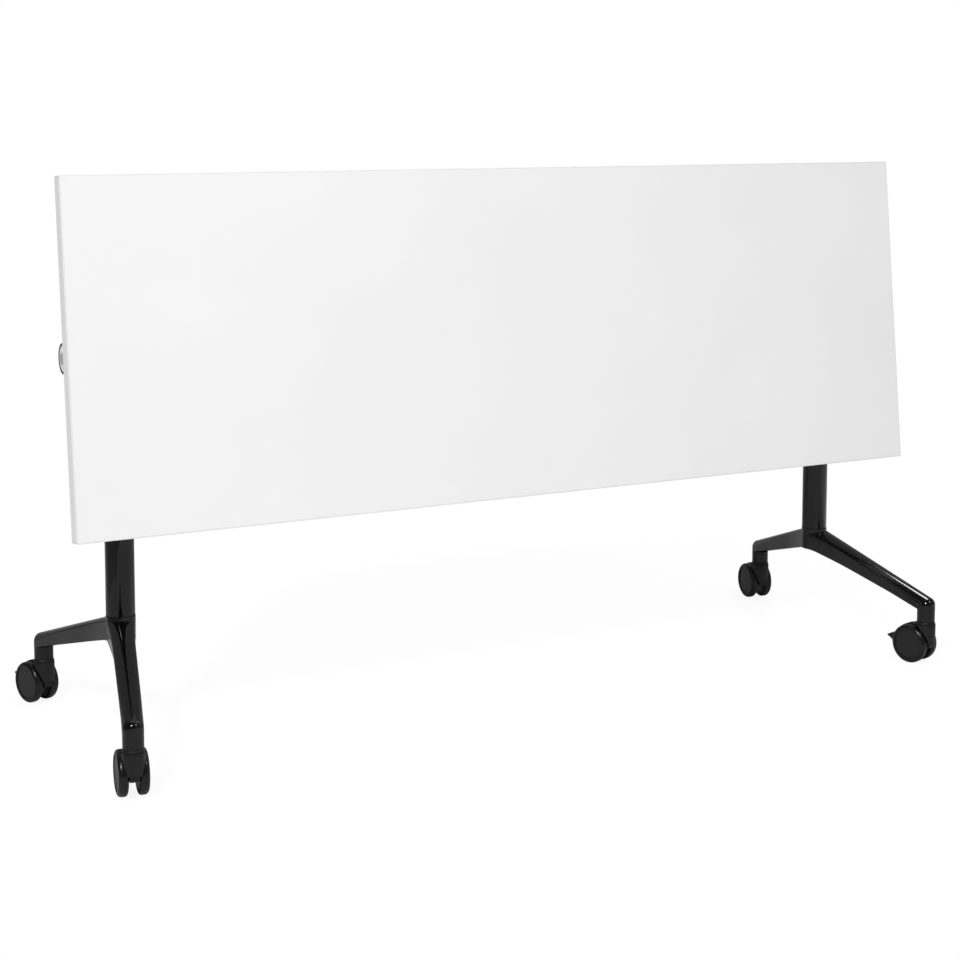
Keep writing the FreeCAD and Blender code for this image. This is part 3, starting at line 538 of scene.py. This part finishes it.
def build_ring(hub, side, material):
    """Ring over the end of a flip hub, round the release button."""
    centre, out, thickness = hub_place(side)
    back = -thickness / 2
    face = reach_past(f"top_bracket_{side}", side, centre) - hub.sunk
    seat = turned_radius(f"hub_cap_{side}")
    inner = turned_radius(f"release_button_{side}") + hub.gap
    profile = [(inner, back), (seat, back)]
    profile += round_edge(seat, face, hub.edge)
    profile += [(inner + hub.edge, face), (inner, face - hub.edge)]
    shape = bmesh.new()
    lathe(shape, centre, out, profile, closed=True)
    ring = new_piece(f"hub_ring_{side}", shape, material, "tabletop")
    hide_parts(f"hub_cap_{side}")


def build_button(hub, side, pale, grey):
    """Release button inside the ring: a pale rim and a raised grey pad."""
    centre, out, thickness = hub_place(side)
    button = f"release_button_{side}"
    face = reach_past(button, side, centre)
    rim_face = face - hub.pad_proud
    radius = turned_radius(button)
    profile = [(radius - hub.edge, -thickness), (radius, -thickness + hub.edge)]
    profile += round_edge(radius, rim_face, 2 * hub.edge)
    shape = bmesh.new()
    lathe(shape, centre, out, profile)
    rim = new_piece(f"button_rim_{side}", shape, pale, button)

    profile = [(hub.pad, rim_face - hub.edge)]
    profile += round_edge(hub.pad, face, hub.edge)
    shape = bmesh.new()
    lathe(shape, centre, out, profile)
    pad = new_piece(f"button_pad_{side}", shape, grey, button)
    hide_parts(button)


def pedal_ring(pedal, along, share=1.0):
    """Ring round a pedal's pad, at a share of the way to its tip: across, back and up."""
    to_root = 1 - along
    to_tip = to_root * (pedal.tip_back - pedal.axle_back - pedal.root)
    low = pedal.tip_low - (pedal.tip_low - pedal.root_low) * to_root**pedal.hollow_low
    high = pedal.tip_high + (pedal.root_high - pedal.tip_high) * to_root**pedal.hollow_high
    half = pedal.half
    if to_tip < pedal.corner:
        half -= pedal.corner - math.sqrt(pedal.corner**2 - (pedal.corner - to_tip) ** 2)
    tall = (high - low) / 2
    nose = (pedal.tip_high - pedal.tip_low) / 2
    if to_tip < nose:
        tall *= math.sqrt(nose**2 - (nose - to_tip) ** 2) / nose
    steps = 40
    ring = []
    for step in range(steps):
        turn = 2 * math.pi * step / steps
        beside = math.copysign(abs(math.cos(turn)) ** pedal.squareness, math.cos(turn))
        above = math.copysign(abs(math.sin(turn)) ** pedal.squareness, math.sin(turn))
        up = (low + high) / 2 + share * tall * above
        root_back = pedal.axle_back + math.sqrt(pedal.root**2 - (up - pedal.axle_up) ** 2)
        back = root_back + (pedal.tip_back - root_back) * along
        ring.append((share * half * beside, back, up))
    return ring


def pedal_pad(pedal):
    """Rings of a pedal's pad: over its hollow inner face, then out to the tip like a beak."""
    inner_shares = (0.3, 0.65)
    reach_steps = 18
    # The last ring lies just short of the tip, where it would shrink to a line
    tip = 0.995
    rings = [pedal_ring(pedal, 0.0, share) for share in inner_shares]
    for step in range(reach_steps + 1):
        rings.append(pedal_ring(pedal, tip * math.sin(math.pi / 2 * step / reach_steps)))
    return rings


def pedal_tongue(pedal, pivot_back, pivot_up):
    """Rings of a pedal's tongue, from its pivot into the pad."""
    corners = ((-1, -1), (1, -1), (1, 1), (-1, 1))
    return [
        [(side * pedal.tongue, back, pivot_up + level * pedal.eye) for side, level in corners]
        for back in (pivot_back, pedal.axle_back + pedal.root)
    ]


def build_pedal(pedal, corner, material):
    """Brake pedal: pad, tongue, and eye with its pins."""
    joints = {joint["name"]: joint for joint in frame["joints"]}
    pivot = Vector(joints[f"brake_{corner}"]["pos_m"])
    stem = Vector(joints[f"swivel_{corner}"]["pos_m"])
    stem.z = 0.0
    back = pivot - stem
    back.z = 0.0
    pivot_back = back.length
    back.normalize()
    across = back.cross(UP)
    shape = bmesh.new()
    for skin in (pedal_pad(pedal), pedal_tongue(pedal, pivot_back, pivot.z)):
        placed = [[stem + x * across + y * back + z * UP for x, y, z in ring] for ring in skin]
        loft(shape, placed)
    half_eye = [(pedal.pin, pedal.pin_reach), (pedal.pin, pedal.tongue), (pedal.eye, pedal.tongue)]
    other_half = [(radius, -place) for radius, place in reversed(half_eye)]
    lathe(shape, pivot, across, half_eye + other_half)
    piece = new_piece(f"pedal_{corner}", shape, material, f"brake_pedal_{corner}")
    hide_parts(f"brake_pedal_{corner}")


def hang_lamp(name, place, aim, wide, high, power):
    """Softbox that isn't seen by the camera itself."""
    light = bpy.data.lights.new(name, "AREA")
    light.shape = "RECTANGLE"
    light.size = wide
    light.size_y = high
    light.energy = power
    lamp = bpy.data.objects.new(name, light)
    bpy.context.scene.collection.objects.link(lamp)
    lamp.location = place
    lamp.rotation_euler = (Vector(aim) - Vector(place)).to_track_quat("-Z", "Y").to_euler()
    lamp.visible_camera = False


def paint_floor(studio):
    """Floor's material: lifted to white for the camera but for shadows, duller in reflections."""
    material = bpy.data.materials.new("White floor, painted")
    material.use_nodes = True
    tree = material.node_tree
    tree.nodes.clear()
    path = add_node(tree, "ShaderNodeLightPath")
    lift = add_node(
        tree,
        "ShaderNodeMath",
        {0: path.outputs["Is Camera Ray"], 1: studio.lift},
        operation="MULTIPLY",
    )
    tone = add_node(
        tree,
        "ShaderNodeMix",
        {MIX_SHARE: path.outputs["Is Glossy Ray"], COLOUR_A: studio.paint, COLOUR_B: studio.mirrored},
        data_type="RGBA",
    )
    paint = add_node(tree, "ShaderNodeBsdfDiffuse", {"Color": tone.outputs[COLOUR_OUT]})
    glow = add_node(
        tree, "ShaderNodeEmission", {"Color": linear("#ffffff"), "Strength": studio.glow}
    )
    mixed = add_node(
        tree,
        "ShaderNodeMixShader",
        {0: lift.outputs["Value"], 1: paint.outputs["BSDF"], 2: glow.outputs["Emission"]},
    )
    add_node(tree, "ShaderNodeOutputMaterial", {"Surface": mixed.outputs["Shader"]})
    return material


def lay_floor(studio):
    """Round pale floor under the desk."""
    mesh = bpy.data.meshes.new("studio_floor")
    steps = 96
    turns = [2 * math.pi * step / steps for step in range(steps)]
    rim = [(studio.floor * math.cos(turn), studio.floor * math.sin(turn), 0.0) for turn in turns]
    mesh.from_pydata(rim, [], [range(steps)])
    mesh.materials.append(paint_floor(studio))
    floor = bpy.data.objects.new("studio_floor", mesh)
    bpy.context.scene.collection.objects.link(floor)


def light_surroundings(studio):
    """White surroundings; in reflections the walls are dimmer, most of all at the camera's end."""
    world = bpy.data.worlds.new("Studio surroundings")
    bpy.context.scene.world = world
    world.use_nodes = True
    tree = world.node_tree
    tree.nodes.clear()
    path = add_node(tree, "ShaderNodeLightPath")
    towards = add_node(tree, "ShaderNodeTexCoord").outputs["Generated"]
    facing = add_node(
        tree,
        "ShaderNodeVectorMath",
        {0: towards, 1: studio.dark_towards},
        operation="DOT_PRODUCT",
    )
    dimmed = add_node(
        tree,
        "ShaderNodeMapRange",
        {
            "Value": facing.outputs["Value"],
            "From Min": 0.0,
            "From Max": studio.dark_from,
            "To Min": 1.0,
            "To Max": studio.dark_end,
        },
    )
    up = add_node(tree, "ShaderNodeSeparateXYZ", {"Vector": towards}).outputs["Z"]
    walls = add_node(
        tree,
        "ShaderNodeMapRange",
        {
            "Value": up,
            "From Min": studio.walls_end,
            "From Max": 0.0,
            "To Min": 1.0,
            "To Max": studio.horizon,
        },
    )
    mirrored = add_node(
        tree,
        "ShaderNodeMath",
        {0: dimmed.outputs["Result"], 1: walls.outputs["Result"]},
        operation="MULTIPLY",
    )
    unseen = add_node(
        tree,
        "ShaderNodeMix",
        {
            MIX_SHARE: path.outputs["Is Glossy Ray"],
            NUMBER_A: studio.fill,
            NUMBER_B: mirrored.outputs["Value"],
        },
        data_type="FLOAT",
    )
    direct = add_node(
        tree,
        "ShaderNodeMath",
        {0: path.outputs["Is Camera Ray"], 1: path.outputs["Is Transmission Ray"]},
        operation="MAXIMUM",
    )
    strength = add_node(
        tree,
        "ShaderNodeMix",
        {
            MIX_SHARE: direct.outputs["Value"],
            NUMBER_A: unseen.outputs[NUMBER_OUT],
            NUMBER_B: 1.0,
        },
        data_type="FLOAT",
    )
    glow = add_node(
        tree,
        "ShaderNodeBackground",
        {"Color": linear("#ffffff"), "Strength": strength.outputs[NUMBER_OUT]},
    )
    add_node(tree, "ShaderNodeOutputWorld", {"Surface": glow.outputs["Background"]})


def set_camera(scene, studio):
    """Camera at the eye's place in front of the desk."""
    data = bpy.data.cameras.new("camera")
    data.sensor_width = 36
    data.lens = studio.lens
    data.shift_y = studio.shift
    camera = bpy.data.objects.new("camera", data)
    scene.collection.objects.link(camera)
    camera.location = studio.place
    camera.rotation_euler = (math.pi / 2 - studio.pitch, 0.0, -studio.yaw)
    scene.camera = camera


class DESK_OT_top(bpy.types.Operator):
    """Finish the board and its edging"""

    bl_idname = "desk.top"
    bl_label = "Top"

    def execute(self, context):
        colours = context.scene.desk_colours
        sizes = context.scene.desk_sizes
        # Pressed melamine: satin white, with a pebble that breaks up glints
        melamine = finish(
            "White melamine, pressed",
            colours.board,
            grain=sizes.board_grain,
            depth=0.02 * MM,
            roughness=0.45,
            drift=sizes.board_drift,
        )
        # Extruded edging: a little glossier and plainer than the board's faces
        edging = finish(
            "White edging, extruded",
            colours.edging,
            grain=sizes.board_grain,
            depth=0.01 * MM,
            roughness=0.38,
            drift=sizes.board_drift,
        )
        dress(["tabletop_board"], melamine)
        bands = [f"edge_band_{end}" for end in ("front", "back", *SIDES)]
        dress(bands, edging, sizes.edging_edge)
        return {"FINISHED"}


class DESK_OT_frame(bpy.types.Operator):
    """Make the feet, and finish the columns, leg heads, brackets and beam"""

    bl_idname = "desk.frame"
    bl_label = "Frame"

    def execute(self, context):
        colours = context.scene.desk_colours
        sizes = context.scene.desk_sizes
        # Gloss powder coat: deep black, clear reflections with the slightest ripple
        coat = finish(
            "Black powder coat, gloss",
            colours.coat,
            grain=sizes.coat_ripple,
            depth=0.0005 * MM,
            roughness=0.08,
            drift=sizes.drift,
        )
        dress(both("leg_head", "top_bracket"), coat, sizes.casting_edge)
        for side in SIDES:
            build_foot(context.scene.desk_foot, side, coat)
        dress([*both("column"), "cross_beam"], coat, sizes.metal_edge)
        return {"FINISHED"}


class DESK_OT_hubs(bpy.types.Operator):
    """Make the rings and buttons on the flip hubs' ends, and finish the bushes"""

    bl_idname = "desk.hubs"
    bl_label = "Flip hubs"

    def execute(self, context):
        colours = context.scene.desk_colours
        sizes = context.scene.desk_sizes
        hub = context.scene.desk_hub
        # Moulded ABS, pale: bright rings that stand out from the black barrels
        pale = finish(
            "Pale grey ABS, moulded",
            colours.ring,
            grain=sizes.mould_grain,
            depth=0.01 * MM,
            roughness=0.35,
            drift=sizes.drift,
        )
        # Moulded ABS, grey: dull pad with a fine grain for the finger
        grey = finish(
            "Grey ABS, moulded",
            colours.button,
            grain=sizes.mould_grain,
            depth=0.02 * MM,
            roughness=0.45,
            drift=sizes.drift,
        )
        # Moulded acetal: waxy off-white
        acetal = finish(
            "Acetal, moulded",
            colours.bush,
            grain=sizes.mould_grain,
            depth=0.01 * MM,
            roughness=0.35,
            drift=sizes.drift,
        )
        for side in SIDES:
            build_ring(hub, side, pale)
            build_button(hub, side, pale, grey)
        dress(both("pivot_bush"), acetal, sizes.metal_edge)
        return {"FINISHED"}


class DESK_OT_steel(bpy.types.Operator):
    """Finish the shafts, rings, springs, bolts, anchors, stems, axles and screws"""

    bl_idname = "desk.steel"
    bl_label = "Steel parts"

    def execute(self, context):
        colours = context.scene.desk_colours
        sizes = context.scene.desk_sizes
        # Zinc plate: bright grey metal, slightly clouded
        zinc = finish(
            "Steel, zinc-plated",
            colours.steel,
            grain=sizes.steel_grain,
            depth=0.01 * MM,
            roughness=0.32,
            drift=sizes.steel_drift,
            metallic=1.0,
        )
        # Black oxide: dull black skin that hides the metal's shine
        oxide = finish(
            "Steel, blackened",
            colours.screw,
            grain=sizes.steel_grain,
            depth=0.01 * MM,
            roughness=0.4,
            drift=sizes.steel_drift,
        )
        groups = ["retaining_rings", "column_bolts", "column_anchors", "castor_stems"]
        dress([*groups, *both("pivot_shaft", "release_spring")], zinc)
        dress(each_castor("castor_axle"), zinc)
        dress(["bracket_screws", "head_screws", "beam_screws"], oxide, sizes.metal_edge)
        return {"FINISHED"}


class DESK_OT_castors(bpy.types.Operator):
    """Make the brake pedals, and finish the castor bodies, wheels and wheel discs"""

    bl_idname = "desk.castors"
    bl_label = "Castors"

    def execute(self, context):
        colours = context.scene.desk_colours
        sizes = context.scene.desk_sizes
        # Moulded nylon: dull black; the spark-eroded grain spreads the light
        nylon = finish(
            "Black nylon, moulded",
            colours.nylon,
            grain=sizes.mould_grain,
            depth=0.03 * MM,
            roughness=0.5,
            drift=sizes.drift,
        )
        # Moulded polyurethane: black tread with a soft sheen
        tread = finish(
            "Black polyurethane, moulded",
            colours.tread,
            grain=sizes.tread_ripple,
            depth=0.02 * MM,
            roughness=0.28,
            drift=sizes.drift,
        )
        # Moulded polypropylene: satin black disc
        disc = finish(
            "Black polypropylene, moulded",
            colours.disc,
            grain=sizes.mould_grain,
            depth=0.02 * MM,
            roughness=0.42,
            drift=sizes.drift,
        )
        dress(each_castor("castor_body"), nylon, sizes.moulding_edge)
        for corner in CORNERS:
            build_pedal(context.scene.desk_pedal, corner, nylon)
        dress(each_castor("wheel_left_of", "wheel_right_of"), tread)
        dress(each_castor("cover_left_of", "cover_right_of"), disc, sizes.moulding_edge)
        return {"FINISHED"}


class DESK_OT_studio(bpy.types.Operator):
    """Set the floor, the lamps, the surroundings and the camera"""

    bl_idname = "desk.studio"
    bl_label = "Studio"

    def execute(self, context):
        scene = context.scene
        studio = scene.desk_studio
        scene.view_settings.view_transform = "Standard"
        lay_floor(studio)
        light_surroundings(studio)
        for lamp in LAMPS:
            hang_lamp(*lamp)
        set_camera(scene, studio)
        return {"FINISHED"}


class DESK_PT_panel(bpy.types.Panel):
    """The desk's operators and settings"""

    bl_label = "Desk"
    bl_space_type = "VIEW_3D"
    bl_region_type = "UI"
    bl_category = "Desk"

    def draw(self, context):
        for made in OPERATORS:
            self.layout.operator(made.bl_idname)
        for name, group in GROUPS.items():
            box = self.layout.box()
            box.label(text=group.__doc__)
            for setting in group.__annotations__:
                box.prop(getattr(context.scene, name), setting)


GROUPS = {
    "desk_colours": DeskColours,
    "desk_sizes": DeskSizes,
    "desk_hub": HubSizes,
    "desk_foot": FootSizes,
    "desk_pedal": PedalSizes,
    "desk_studio": DeskStudio,
}
OPERATORS = (
    DESK_OT_top,
    DESK_OT_frame,
    DESK_OT_hubs,
    DESK_OT_steel,
    DESK_OT_castors,
    DESK_OT_studio,
)


def register():
    """Add the classes and their settings."""
    for made in (*GROUPS.values(), *OPERATORS, DESK_PT_panel):
        bpy.utils.register_class(made)
    for name, group in GROUPS.items():
        setattr(bpy.types.Scene, name, bpy.props.PointerProperty(type=group))


def unregister():
    """Take the settings and classes out again."""
    for name in GROUPS:
        delattr(bpy.types.Scene, name)
    for made in (DESK_PT_panel, *OPERATORS, *GROUPS.values()):
        bpy.utils.unregister_class(made)


def main():
    """Dress the desk and set its studio."""
    register()
    bpy.ops.desk.top()
    bpy.ops.desk.frame()
    bpy.ops.desk.hubs()
    bpy.ops.desk.steel()
    bpy.ops.desk.castors()
    bpy.ops.desk.studio()


if __name__ == "__main__":
    main()
